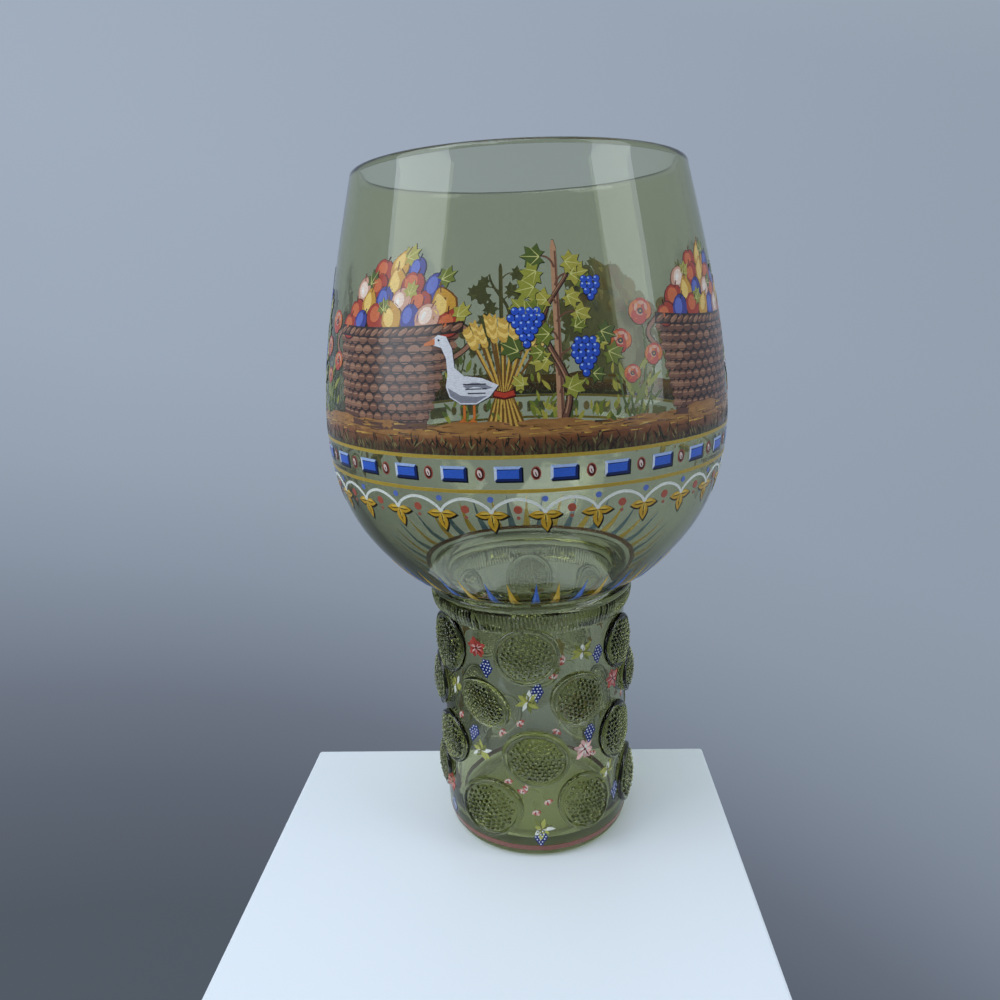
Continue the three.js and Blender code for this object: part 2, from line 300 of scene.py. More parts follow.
def placePrunts(blanks):
    # every disc is a copy of a blank: turned, sized and tilted as pressed by hand, and set on the wall
    p = prunt
    rows = []
    count = 0
    for height, discs in p["rows"]:
        row = bmesh.new()
        for angle, slip, wideness, tallness, tilt in discs:
            one = bmesh.new()
            one.from_mesh(blanks[count % len(blanks)].data)
            swivel(one, p["spin"] * count)
            bmesh.ops.scale(one, vec=(wideness, tallness * p["tall"] / p["width"], 1), verts=one.verts)
            swivel(one, math.radians(tilt))
            swivel(one, math.pi / 2, "X")
            for v in one.verts:   # the warm disc bends with the stem
                v.co.y += p["bend"] * v.co.x ** 2 / (2 * p["stemRadius"] * mm)
            place = (0, -p["back"] * mm, (height + slip * p["tall"]) * mm)
            bmesh.ops.translate(one, vec=place, verts=one.verts)
            swivel(one, math.radians(angle))
            joinInto(row, one)
            count += 1
        bmesh.ops.scale(row, vec=(1 / mm, 1 / mm, 1 / mm), verts=row.verts)
        rows.append(asObject(row, "pruntRow"))
    for blank in blanks:
        bpy.data.objects.remove(blank)
    return rows


pinch = {"angle": -6, "radius": 53.6, "height": 132.2, "size": (1.1, 1.9, 2.4)}


def makePinch():
    # a pinched end of hot glass left over the front disc
    bm = bmesh.new()
    turned = Matrix.Rotation(math.radians(pinch["angle"]), 4, "Z")
    moved = Matrix.Translation((0, -pinch["radius"], pinch["height"]))
    bmesh.ops.create_uvsphere(bm, u_segments=10, v_segments=8, radius=1,
                              matrix=turned @ moved @ Matrix.Diagonal((*pinch["size"], 1)))
    return bm


# Materials
def setInputs(node, inputs):
    # each input takes a value or another node's output
    for socket, value in inputs.items():
        if isinstance(value, bpy.types.NodeSocket):
            node.id_data.links.new(value, node.inputs[socket])
        else:
            node.inputs[socket].default_value = value


def addNode(tree, kind, inputs=None, **settings):
    node = tree.nodes.new("ShaderNode" + kind)
    for name, value in settings.items():
        setattr(node, name, value)
    setInputs(node, inputs or {})
    return node


def addGroup(tree, group, inputs):
    return addNode(tree, "Group", inputs, node_tree=group).outputs


def noise(tree, where, scale, detail):
    return addNode(tree, "TexNoise", {"Vector": where, "Scale": scale, "Detail": detail}).outputs["Fac"]


def stretched(tree, where, scale):
    return addNode(tree, "Mapping", {"Vector": where, "Scale": scale}).outputs["Vector"]


def remap(tree, value, low, high, start=0.0, end=1.0):
    # low to high becomes start to end, and nothing goes past them
    return addNode(tree, "MapRange", {"Value": value, "From Min": low, "From Max": high,
                                      "To Min": start, "To Max": end}).outputs["Result"]


def reckon(tree, operation, *values):
    # one sum on plain numbers
    return addNode(tree, "Math", dict(enumerate(values)), operation=operation).outputs["Value"]


def blendOf(tree, blend, factor, a, b):
    return addNode(tree, "Mix", {"Factor": factor, "A": a, "B": b},
                   data_type="RGBA", blend_type=blend).outputs["Result"]


def newMaterial(name):
    material = bpy.data.materials.new(name)
    material.use_nodes = True
    return material, material.node_tree, material.node_tree.nodes["Principled BSDF"]


def groupOf(name, inputs, outputs):
    tree = bpy.data.node_groups.new(name, "ShaderNodeTree")
    for label, kind, value in inputs:
        tree.interface.new_socket(label, in_out="INPUT", socket_type=kind).default_value = value
    for label, kind in outputs:
        tree.interface.new_socket(label, in_out="OUTPUT", socket_type=kind)
    return tree, tree.nodes.new("NodeGroupInput").outputs, tree.nodes.new("NodeGroupOutput")


def makeHandBlown():
    # slow upright waves of hand-blown glass, as a normal, and a thin film as roughness
    tree, given, result = groupOf(
        "handBlown", [("Waves", "NodeSocketFloat", 0.2), ("Film", "NodeSocketFloat", 0.02)],
        [("Normal", "NodeSocketVector"), ("Roughness", "NodeSocketFloat")])
    where = addNode(tree, "TexCoord").outputs["Object"]
    slow = noise(tree, stretched(tree, where, (30, 30, 9)), 1, 1.5)
    waves = addNode(tree, "Bump", {"Height": slow, "Strength": given["Waves"], "Distance": 0.002})
    film = remap(tree, noise(tree, where, 14, 4), 0.45, 0.75)
    setInputs(result, {"Normal": waves.outputs["Normal"],
                       "Roughness": reckon(tree, "MULTIPLY", film, given["Film"])})
    return tree


handBlown = makeHandBlown()
glassLook = {
    "ior": 1.5, "tint": (0.567, 0.59, 0.21, 1), "density": 120, "shadow": (0.95, 0.96, 0.93, 1),
    "waves": 0.12, "film": 0.015,
    "groundTop": 0.0062, "groundLow": 0.0044, "groundRough": 0.62,   # the foot is ground dull underneath
}


def makeOliveGlass():
    g = glassLook
    material, tree, glass = newMaterial("oliveGlass")
    surface = addGroup(tree, handBlown, {"Waves": g["waves"], "Film": g["film"]})
    where = addNode(tree, "TexCoord").outputs["Object"]
    height = addNode(tree, "SeparateXYZ", {"Vector": where}).outputs["Z"]
    ground = remap(tree, height, g["groundTop"], g["groundLow"], end=g["groundRough"])
    dull = reckon(tree, "ADD", ground, surface["Roughness"])
    setInputs(glass, {"Base Color": (1, 1, 1, 1), "Transmission Weight": 1, "IOR": g["ior"],
                      "Roughness": dull, "Normal": surface["Normal"]})
    tint = addNode(tree, "VolumeAbsorption", {"Color": g["tint"], "Density": g["density"]})
    clear = addNode(tree, "BsdfTransparent", {"Color": g["shadow"]})
    shadowRay = addNode(tree, "LightPath").outputs["Is Shadow Ray"]
    pick = addNode(tree, "MixShader", {"Fac": shadowRay, 1: glass.outputs["BSDF"], 2: clear.outputs["BSDF"]})
    setInputs(tree.nodes["Material Output"],
              {"Surface": pick.outputs["Shader"], "Volume": tint.outputs["Volume"]})
    return material


def makeGlass():
    # all the hot pieces welded into one skin, which stands in for all the CAD nodes
    glassBody = asObject(makeBlownBody(), "blownBody", makeOliveGlass())
    print("blown body", len(glassBody.data.polygons), "faces")
    blanks = [makePruntBlank("blank%d" % i) for i in range(prunt["blanks"])]
    print("prunt blank", len(blanks[0].data.polygons), "faces")
    rows = placePrunts(blanks)
    bead = spun(neckThread["bead"], neckThread["steps"])
    hotPieces = {"bead": bead, "pinch": makePinch(), "thread": makeNeckThread(), "collar": makeMilledCollar()}
    fuse(glassBody, [asObject(bm, name) for name, bm in hotPieces.items()] + rows)
    glassBody.data.shade_smooth()
    glassBody.data.set_sharp_from_angle(angle=math.radians(blownBody["sharpAngle"]))
    glassNodes = list(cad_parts)
    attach(glassBody, "root")
    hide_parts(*glassNodes)
    print("fused glass", sum(len(p.vertices) - 2 for p in glassBody.data.polygons), "triangles")


makeGlass()


# Enamel: every brush mark is a thin closed coat that beds a little into the glass
bed = 0.12


def paint(red, green, blue):
    # a paint as read off a colour card, 0 to 255
    return tuple((c / 255 / 12.92 if c < 10 else ((c / 255 + 0.055) / 1.055) ** 2.4)
                 for c in (red, green, blue)) + (1,)


def palette(**card):
    # the paints of a colour card by name; a list on the card gives a list of paints
    return {name: [paint(*c) for c in tones] if isinstance(tones, list) else paint(*tones)
            for name, tones in card.items()}


groundCoat = paint(228, 222, 206)   # the underpaint, seen from behind through the glass


def layShape(coat, outline, colour, at=(0, 0), level=0.1, turn=0.0, size=1.0, dice=3.2, under=0.5):
    # one flat shape, its outline in millimetres along the wall and up it; dice is the grid that lets it
    # bend with the wall, and under is how far the underpaint greys its back
    bm = bmesh.new()
    paintLayer = bm.loops.layers.float_color.new("enamel")
    cos, sin = math.cos(turn) * size, math.sin(turn) * size
    spots = [(at[0] + x * cos - y * sin, at[1] + x * sin + y * cos) for x, y in outline]
    bm.faces.new([bm.verts.new((x, 0, y)) for x, y in spots])
    for axis, normal in ((0, (1, 0, 0)), (1, (0, 0, 1))):
        low, high = min(p[axis] for p in spots), max(p[axis] for p in spots)
        step = dice * (1 + axis)
        for k in range(math.ceil(low / step), math.ceil(high / step)):
            bmesh.ops.bisect_plane(bm, geom=bm.verts[:] + bm.edges[:] + bm.faces[:], dist=1e-4,
                                   plane_co=[k * step * n for n in normal], plane_no=normal)
    raised = bmesh.ops.extrude_face_region(bm, geom=bm.faces[:])
    tops = {v for v in raised["geom"] if isinstance(v, bmesh.types.BMVert)}
    for v in bm.verts:
        v.co.y = -level if v in tops else bed
    bmesh.ops.recalc_face_normals(bm, faces=bm.faces)
    ground = tuple(c + (g - c) * under for c, g in zip(colour, groundCoat))
    for face in bm.faces:
        shown = any(v in tops for v in face.verts)
        for loop in face.loops:
            loop[paintLayer] = colour if shown else ground
    joinInto(coat, bm)


def wrapOnWall(coat):
    # bends flat brushwork round the glass: x runs round the wall, z is height, -y stands proud
    for v in coat.verts:
        r, lean = wallAt(v.co.z)
        angle = v.co.x / r
        out = r - v.co.y * math.cos(lean)
        v.co = (out * math.sin(angle), -out * math.cos(angle), v.co.z + v.co.y * math.sin(lean))


def ringOf(coat, count, phase=0.0):
    # repeats a wrapped motif round the axis
    ring = bmesh.new()
    motif = bpy.data.meshes.new("motif")
    coat.to_mesh(motif)
    coat.free()
    for k in range(count):
        one = bmesh.new()
        one.from_mesh(motif)
        swivel(one, math.radians(phase) + fullTurn * k / count)
        joinInto(ring, one)
    bpy.data.meshes.remove(motif)
    return ring


def oval(wide, tall, corners=12):
    return [(wide / 2 * math.cos(a), tall / 2 * math.sin(a)) for a in around(corners)]


def blade(length, width, bow=0.0, corners=6):
    # a pointed leaf along +x, bent sideways by bow
    spine = shares(corners)[1:-1]

    def side(half):
        return [(length * t, half * math.sin(math.pi * t ** 0.85) + bow * t * t) for t in spine]
    return [(0, 0)] + side(-width / 2) + [(length, bow)] + side(width / 2)[::-1]


def stroke(points, width, taper=1.0):
    # a brush line along points, its end narrowed by taper
    return offsetLine(points, -width / 2, taper) + offsetLine(points, width / 2, taper)[::-1]


def layLine(coat, points, width, colour, level, taper=1.0, dice=3.2):
    layShape(coat, stroke(points, width, taper), colour, level=level, dice=dice)


def curve(a, b, bow, steps=8):
    # a line from a to b that swings out by bow halfway
    dx, dy = b[0] - a[0], b[1] - a[1]
    run = math.hypot(dx, dy) or 1
    return [(a[0] + dx * t - dy / run * bow * 4 * t * (1 - t),
             a[1] + dy * t + dx / run * bow * 4 * t * (1 - t)) for t in shares(steps)]


def bandOn(low, high, rise, wander=0.0, steps=180, rows=1):
    # a painted line all the way round, a trifle uneven as the brush was
    def spot(z, h):
        r, lean = wallAt(z)
        return r + h * math.cos(lean), z - h * math.sin(lean)
    heights = [low + (high - low) * k / rows for k in range(rows + 1)]
    bm = spun([spot(z, rise) for z in heights] + [spot(z, -bed) for z in heights[::-1]], steps)
    for v in bm.verts:
        a = math.atan2(v.co.y, v.co.x)
        waver = math.sin(5 * a + low) + 0.6 * math.sin(13 * a + 2 * high) + 0.4 * math.sin(31 * a)
        v.co.z += wander * waver
    return bm


def makeBrushed():
    # brush streaks of fired enamel: a colour shift, a gloss and a slight relief
    tree, given, result = groupOf(
        "brushedEnamel", [("Color", "NodeSocketColor", (0.5, 0.5, 0.5, 1)),
                          ("Streak", "NodeSocketFloat", 0.25), ("Grain", "NodeSocketFloat", 900.0)],
        [("Color", "NodeSocketColor"), ("Roughness", "NodeSocketFloat"), ("Normal", "NodeSocketVector")])
    where = addNode(tree, "TexCoord").outputs["Object"]
    streak = noise(tree, stretched(tree, where, (1, 1, 2.4)), given["Grain"], 3)
    swing = remap(tree, streak, 0.3, 0.7, 0.62, 1.25)
    relief = addNode(tree, "Bump", {"Height": streak, "Strength": 0.25, "Distance": 0.0002})
    setInputs(result, {"Color": blendOf(tree, "MULTIPLY", given["Streak"], given["Color"], swing),
                       "Roughness": remap(tree, streak, 0, 1, 0.1, 0.3), "Normal": relief.outputs["Normal"]})
    return tree


brushed = makeBrushed()


def brushOn(tree, coat, colour, streak=0.4, grain=900.0):
    # gives the coat a colour through the brush streaks
    brush = addGroup(tree, brushed, {"Color": colour, "Streak": streak, "Grain": grain})
    setInputs(coat, {"Base Color": brush["Color"], "Roughness": brush["Roughness"],
                     "Normal": brush["Normal"]})


def makeEnamel(name, colour=None):
    # one paint for a line, or the painter's own mixed colours from the coat's attribute
    material, tree, coat = newMaterial(name)
    brushOn(tree, coat, colour or addNode(tree, "Attribute", attribute_name="enamel").outputs["Color"])
    return material


paletteEnamel = makeEnamel("paletteEnamel")
mustardEnamel = makeEnamel("mustardEnamel", paint(190, 160, 62))
russetEnamel = makeEnamel("russetEnamel", paint(112, 62, 48))
brickEnamel = makeEnamel("brickEnamel", paint(134, 78, 64))


def finishCoat(bm, name, material=paletteEnamel):
    piece = asObject(bm, name, material)
    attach(piece, "root")
    print(name, len(piece.data.polygons), "faces")


# The painted lines: name, lower and upper edge, thickness, unevenness and paint
lines = [
    ("upperMustardLine", 228.9, 230.4, 0.2, 0.07, mustardEnamel),
    ("lowerMustardLine", 214.7, 216.2, 0.2, 0.07, mustardEnamel),
    ("throatLine", 148.9, 150.1, 0.2, 0.05, russetEnamel),
    ("footLine", 5.0, 8.2, 0.15, 0.12, brickEnamel),
]
for name, low, high, rise, wander, enamel in lines:
    finishCoat(bandOn(low, high, rise, wander), name, enamel)

jewels = {
    "count": 28, "phase": -4.4, "height": 222.9, "wide": 11.2, "tall": 6.2,
    **palette(blue=(58, 104, 210), deep=(24, 42, 98), light=(176, 200, 244), pale=(224, 234, 250),
              dark=(14, 15, 26), ring=(164, 80, 62), shade=(78, 30, 26), glow=(244, 218, 206)),
}


def makeJewels():
    # cut stones in trompe-l'oeil: lit along the top and left, dark under the right and bottom
    j = jewels
    w, t, z = j["wide"] / 2, j["tall"] / 2, j["height"]
    left, right, low, high = -w + 1.15, w - 1.1, -t + 1.1, t - 1.15   # the flat top of the stone
    motif = bmesh.new()
    for tone, level, outline in (
            ("dark", 0.08, [(-w + 0.6, -t - 0.7), (w + 0.7, -t - 0.7), (w + 0.7, t - 0.6),
                            (-w + 0.6, t - 0.6)]),
            ("deep", 0.12, [(-w, -t), (w, -t), (w, t), (-w, t)]),
            ("pale", 0.15, [(-w, -t), (left, low), (left, high), (-w, t)]),
            ("light", 0.155, [(-w, t), (left, high), (right, high), (w, t)]),
            ("blue", 0.17, [(left, low), (right, low), (right, high), (left, high)]),
            ("dark", 0.19, [(left + 0.05, high - 0.4), (right - 0.3, high - 0.25), (right - 0.3, high - 0.05),
                            (left + 0.05, high - 0.05)])):
        layShape(motif, outline, j[tone], (0, z), level)
    step = math.pi * wallAt(z)[0] / j["count"]
    for tone, level, outline, dx, dz, turn in (   # the oval bead between two stones
            ("ring", 0.1, oval(4.2, 5.8, 14), 0, 0, 0), ("shade", 0.13, oval(3.1, 4.8, 12), 0.05, -0.05, 0),
            ("glow", 0.16, oval(1.9, 3.4, 10), -0.2, 0.15, 0.25),
            ("shade", 0.18, oval(0.5, 2.0, 8), -0.1, -0.3, 0.35)):
        layShape(motif, outline, j[tone], (step + dx, z + dz), level, turn)
    wrapOnWall(motif)
    finishCoat(ringOf(motif, j["count"], j["phase"]), "jewelBorder")


makeJewels()

scallops = {
    "count": 28, "phase": 4.0, "cusp": 205.7, "peak": 212.0, "line": 1.2,
    # direction, length, width and bow of the trefoil's leaves
    "leaves": [(math.pi + 0.12, 6.8, 3.5, -0.5), (-0.12, 6.8, 3.5, 0.5),
               (-math.pi / 2 + 0.06, 8.2, 4.4, 0.4)],
    **palette(white=(248, 250, 240), gold=(222, 172, 50), lightGold=(244, 208, 92), dark=(40, 30, 12),
              blue=(104, 128, 206), red=(190, 96, 74), softRed=(176, 104, 84)),
}


def makeScallops():
    # white arcs with a gold trefoil hung from every cusp, and dots over and under
    s = scallops
    motif = bmesh.new()
    span = fullTurn * wallAt(s["cusp"])[0] / s["count"]
    rise = s["peak"] - s["cusp"]
    arc = [(span * t, s["cusp"] + rise * math.sin(math.pi * t) ** 0.62) for t in shares(22)]
    layLine(motif, arc, s["line"], s["white"], 0.17, dice=50)
    z = s["cusp"] - 0.5
    for turn, length, width, bow in s["leaves"]:
        layShape(motif, blade(length + 0.7, width + 0.6, bow), s["dark"], (0.4, z - 0.45), 0.1, turn)
    for turn, length, width, bow in s["leaves"]:
        layShape(motif, blade(length, width, bow), s["gold"], (0, z), 0.15, turn)
        layShape(motif, blade(length * 0.6, width * 0.36, bow), s["lightGold"],
                 (0.5 * math.cos(turn), z + 0.55), 0.17, turn)
        layShape(motif, blade(length * 0.78, 0.46, bow * 0.6), s["dark"], (0, z), 0.19, turn)
    for dot, tone, x, height in ((oval(2.7, 2.6, 12), "blue", 0, s["peak"] - 0.1),
                                 (oval(3.7, 3.6, 14), "red", span / 2, 207.3),
                                 (oval(1.7, 1.6, 9), "softRed", span / 2, 203.6)):
        layShape(motif, dot, s[tone], (x, height), 0.13)
    wrapOnWall(motif)
    finishCoat(ringOf(motif, s["count"], s["phase"]), "scallopBorder")


makeScallops()

rays = {
    "pairs": 21, "phase": 1.7, "foot": 150.1, "tip": 167.5, "width": 4.5,
    **palette(blue=(74, 124, 226), paleBlue=(128, 168, 238),
              yellow=(246, 196, 64), paleYellow=(252, 222, 120)),
}


def makeRays():
    # flames in blue and yellow that rise from the line at the throat
    r = rays
    motif = bmesh.new()
    foot, half, rise = r["foot"], r["width"] / 2, r["tip"] - r["foot"]
    throat = wallAt(foot)[0]
    step = math.pi * throat / r["pairs"]
    flame = [(-half, 0), (half, 0), (half * 0.72, rise * 0.3), (half * 0.34, rise * 0.62), (0.12, rise),
             (-half * 0.24, rise * 0.62), (-half * 0.6, rise * 0.3)]
    glow = [(-half * 0.55, rise * 0.05), (-half * 0.1, rise * 0.05), (-half * 0.02, rise * 0.6),
            (-half * 0.2, rise * 0.5)]
    for k, (body, light) in enumerate((("blue", "paleBlue"), ("yellow", "paleYellow"))):
        layShape(motif, flame, r[body], (k * step, foot), 0.12, dice=2.5, under=0.1)
        layShape(motif, glow, r[light], (k * step, foot), 0.15, dice=2.5)
    for v in motif.verts:   # spread half as much as the wall widens, so that the flames fan out upwards
        v.co.x *= wallAt(v.co.z)[0] / throat * 0.5 + 0.5
    wrapOnWall(motif)
    finishCoat(ringOf(motif, r["pairs"], r["phase"]), "rayBorder")


makeRays()


# The broad painted band: a vineyard at harvest on a strip of earth, four times round
harvest = {
    "repeats": 4, "phase": 8.0, "ground": 243.0, "halfUnit": 77,
    # places along the wall in each quarter, and the hedge's two ends and height
    "vine": 0, "basket": 79, "poppies": 32, "sheaf": -22, "goose": -36, "gooseSize": 0.92,
    "hedge": (-46, 44, 26),
    **palette(
        bark=(112, 76, 58), darkBark=(52, 34, 28), lightBark=(182, 138, 104),
        wicker=[(132, 92, 70), (118, 78, 60), (150, 108, 84), (100, 68, 54)],
        wickerDark=(48, 32, 28), wickerLight=(172, 128, 98),
        leaf=[(112, 122, 44), (146, 148, 58), (82, 98, 44), (168, 160, 66)],
        leafDark=(34, 42, 26), vein=(204, 202, 122), grass=(140, 130, 80), grassDark=(58, 52, 34),
        grape=(44, 82, 190), grapeDark=(18, 26, 66), grapeLight=(156, 186, 238),
        apple=(168, 58, 38), appleLight=(208, 108, 62), appleDark=(80, 24, 20),
        plum=(58, 64, 142), plumLight=(96, 110, 190), plumDark=(22, 22, 58),
        pear=(202, 150, 52), pearLight=(236, 200, 110), pearDark=(112, 70, 26),
        peach=(208, 158, 132), peachLight=(240, 214, 194), peachDark=(124, 66, 56),
        white=(222, 222, 226), grey=(138, 138, 148), darkGrey=(48, 48, 56),
        orange=(206, 112, 46), straw=(206, 164, 74), darkStraw=(112, 78, 32),
        red=(184, 62, 42), darkRed=(88, 24, 20), shine=(244, 236, 224)),
}
vineLeaf = [(1.0, 0), (0.6, 0.2), (0.68, 0.64), (0.22, 0.5), (-0.12, 0.84), (-0.3, 0.4), (-0.62, 0.34),
            (-0.3, 0), (-0.62, -0.34), (-0.3, -0.4), (-0.12, -0.84), (0.22, -0.5), (0.68, -0.64), (0.6, -0.2)]


def edged(coat, outline, colour, edge, at, level, turn=0.0, size=1.0, rim=0.35):
    # a shape with the dark contour that enamel painters pull round it
    reach = max(math.hypot(x, y) for x, y in outline) * size
    layShape(coat, outline, edge, (at[0] + 0.12, at[1] - 0.14), level, turn, size * (1 + rim / reach))
    layShape(coat, outline, colour, at, level + 0.025, turn, size)


def paintLeaf(coat, at, size, turn, level):
    # a vine leaf with three pale veins
    h = harvest
    edged(coat, vineLeaf, hand.choice(h["leaf"]), h["leafDark"], at, level, turn, size)
    start = away(at, -0.28 * size, turn)
    for side, reach in ((0, 1.25), (0.75, 0.85), (-0.75, 0.85)):
        tip = away(start, reach * size, turn + side)
        layLine(coat, [start, tip], 0.42, h["vein"], level + 0.045, 0.3)


def paintGrapes(coat, at, berry, rows, level):
    # a bunch hung from at: rows gives how many berries are side by side, from the top down
    h = harvest
    for r, count in enumerate(rows):
        for c in range(count):
            x = at[0] + (c - (count - 1) / 2) * berry * 0.94 + hand.uniform(-0.2, 0.2)
            z = at[1] - r * berry * 0.8 + hand.uniform(-0.15, 0.15)
            top = level + 0.01 * (r % 3)
            layShape(coat, oval(berry * 1.16, berry * 1.16, 10), h["grapeDark"], (x + 0.08, z - 0.1), top)
            layShape(coat, oval(berry * 0.94, berry * 0.94, 10), h["grape"], (x, z), top + 0.03)
            layShape(coat, oval(berry * 0.36, berry * 0.3, 6), h["grapeLight"],
                     (x - berry * 0.18, z + berry * 0.2), top + 0.045)


def paintVine(coat, x, level=0.1):
    # a stake, a winding trunk with its shoots, the leaves and three bunches of grapes
    h = harvest
    z = h["ground"]
    stake = [(-1.5, -2), (1.5, -2), (1.15, 66), (0.3, 69), (-0.5, 69), (-1.15, 66)]
    edged(coat, stake, h["lightBark"], h["darkBark"], (x, z), level)
    layShape(coat, [(0.2, -1), (1.3, -1), (1.0, 65), (0.3, 65)], h["bark"], (x, z), level + 0.04)
    trunk = [(x + 6.5 * math.sin(t * 7.4 + 0.5) * (0.5 + 0.6 * t), z + 1 + 62 * t) for t in shares(26)]
    layLine(coat, trunk, 3.2, h["darkBark"], level + 0.05, 0.45)
    layLine(coat, [(p - 0.2, q + 0.1) for p, q in trunk], 2.2, h["bark"], level + 0.07, 0.4)
    layLine(coat, [(p - 0.5, q) for p, q in trunk[1:-1]], 0.55, h["lightBark"], level + 0.085, 0.4)
    leaves = 22
    for k in range(leaves):
        t = 0.22 + 0.78 * (k + 0.5) / leaves
        side = -1 if k % 2 else 1
        reach = hand.uniform(4, 20) * (0.62 + 0.6 * math.sin(math.pi * min(1, t * 1.02)))
        at = (x + side * reach, z + 64 * t + hand.uniform(-2.5, 2.5))
        if k % 3 == 0:
            shoot = curve((x, z + 64 * t - 4), at, side * 2)
            layLine(coat, shoot, 0.9, h["bark"], level + 0.06, 0.5)
        paintLeaf(coat, at, hand.uniform(4.2, 6.4), math.pi / 2 - side * hand.uniform(0.6, 2.2),
                  level + 0.09 + 0.012 * (k % 3))
    for dx, dz, berry, rows in ((-12, 43, 3.1, (4, 5, 4, 3, 2, 1)), (11, 31, 3.1, (3, 4, 4, 3, 2, 1)),
                                (14, 54, 2.8, (3, 3, 2, 1))):
        paintGrapes(coat, (x + dx, z + dz), berry, rows, level + 0.13)


fruitForms = {   # half width, half height and how much the neck draws in, as shares of the fruit's size
    "apple": (0.53, 0.48, 0.0), "pear": (0.46, 0.62, 0.42),
    "plum": (0.42, 0.5, 0.0), "peach": (0.51, 0.5, 0.0),
}


def paintFruit(coat, at, size, kind, level):
    # each fruit is shaded on its lower right and has a stalk
    h = harvest
    body, light, dark = h[kind], h[kind + "Light"], h[kind + "Dark"]
    slim, high, neck = fruitForms[kind]
    lean = hand.uniform(-0.5, 0.5)

    def shape(grow, dx=0.0, dy=0.0, squeeze=1.0):
        return [(size * (dx + grow * squeeze * slim * math.cos(a) * (1 - neck * max(0, math.sin(a)))),
                 size * (dy + grow * high * math.sin(a) * (0.86 if kind == "apple" and 1.2 < a < 1.9 else 1)))
                for a in around(16)]
    stalk = stroke([(0.03 * size, high * 0.72 * size), (0.1 * size, high * 1.28 * size)], 0.5)
    shine = h["shine"] if kind == "peach" else light
    for outline, tone, rise in ((shape(1.1, 0.02, -0.02), dark, 0), (shape(1.0), body, 0.014),
                                (shape(0.62, -0.1, 0.07, 0.86), light, 0.026),
                                (shape(0.3, -0.16, 0.05, 0.5), shine, 0.036), (stalk, dark, 0.044)):
        layShape(coat, outline, tone, at, level + rise, lean)


basket = {
    "foot": 25.0, "mouth": 34.0, "tall": 38.0, "rows": 9, "canes": 13, "bulge": 1.35,
    "fruit": ["apple", "pear", "plum", "peach", "apple", "pear", "apple", "plum"],
    "pile": [(3, 24.5, 9.0), (5, 18.0, 9.4), (6, 11.0, 9.8), (7, 4.5, 9.8)],   # count, height, size by row
}


def paintWicker(coat, x, z, level):
    # staggered canes, lit above and on the left, over a dark ground, and the two ears
    h = harvest
    foot, mouth, tall, bulge = (basket[k] for k in ("foot", "mouth", "tall", "bulge"))
    wall = [(-foot, 1), (-foot * 0.6, -0.6), (0, -1.2), (foot * 0.6, -0.6), (foot, 1),
            (mouth, tall), (-mouth, tall)]
    layShape(coat, wall, h["wickerDark"], (x, z), level)
    for row in range(basket["rows"]):
        t = (row + 0.5) / basket["rows"]
        half = foot + (mouth - foot) * t
        for c in range(basket["canes"]):
            u = (c + 0.5 * (row % 2) + 0.25) / basket["canes"] * 2 - 1
            if abs(u) > 0.97:
                continue
            wide = half * 2 / basket["canes"] * 1.32 * (1 - 0.35 * u * u)
            at = (x + half * math.sin(u * bulge) / math.sin(bulge),
                  z + 1.2 + (tall - 2.6) * t - 1.3 * (1 - u * u))
            tone = h["wicker"][hand.randrange(4)]
            cane = [(a, b * 0.72 if abs(a) > wide * 0.3 else b) for a, b in oval(wide, 3.7, 12)]
            lit = [(-wide * 0.34, 0.35), (wide * 0.3, 0.35), (wide * 0.22, 0.95), (-wide * 0.26, 0.95)]
            shaded = [(-wide * 0.3, -1.35), (wide * 0.3, -1.35), (wide * 0.36, -0.85), (-wide * 0.36, -0.85)]
            layShape(coat, cane, tone, at, level + 0.03 + 0.006 * (c % 2))
            layShape(coat, lit, h["wickerLight"] if u < 0.1 else h["wicker"][2], at, level + 0.05)
            layShape(coat, shaded, h["wicker"][3] if u < 0.1 else h["wickerDark"], at, level + 0.05)
    for side in (-1, 1):
        ear = [(x + side * (mouth - 2.5 + 8 * math.sin(math.pi * t)), z + tall - 13 + 15 * t)
               for t in shares(9)]
        layLine(coat, ear, 2.5, h["wickerDark"], level + 0.02)
        layLine(coat, ear, 1.7, h["wicker"][2], level + 0.04)


